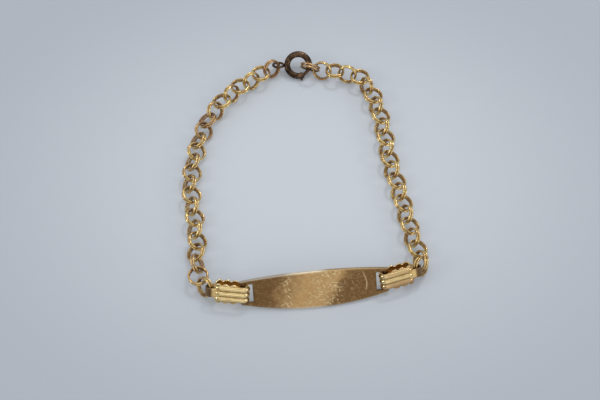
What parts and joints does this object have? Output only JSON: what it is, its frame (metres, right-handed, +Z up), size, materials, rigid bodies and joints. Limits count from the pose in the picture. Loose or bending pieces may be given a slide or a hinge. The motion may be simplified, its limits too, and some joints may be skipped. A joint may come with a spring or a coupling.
{
  "type": "id bracelet",
  "caption": "Bracelet with a bare curved name plate, ribbed connectors, double-ring cable chain and a spring ring clasp, lying closed.",
  "frame": {"origin": "middle of the lying loop's bounding box, on the surface it rests on", "axes": "+X along the plate, +Y from the plate towards the clasp, +Z up"},
  "size_m": [0.0506, 0.0632, 0.0069],
  "materials": {
    "plate_gold": "worn satin",
    "connector_gold": "polished",
    "chain_gold": "polished",
    "clasp_tarnish": "tarnished"
  },
  "bodies": {
    "bracelet": {"plate": "plate_gold", "connector_left": "connector_gold", "connector_right": "connector_gold", "chain_left": "chain_gold", "chain_right": "chain_gold", "clasp_ring": "clasp_tarnish"},
    "lever": {"clasp_lever": "clasp_tarnish"}
  },
  "joints": [
    {"name": "lever_hinge", "type": "hinge", "parent": "bracelet", "child": "lever", "pos_m": [-0.001, 0.02877, 0.00189], "axis": [0, 0.4695, -0.8829], "range_deg": [0, 38], "stiffness_Nm_per_rad": 0.0005}
  ]
}
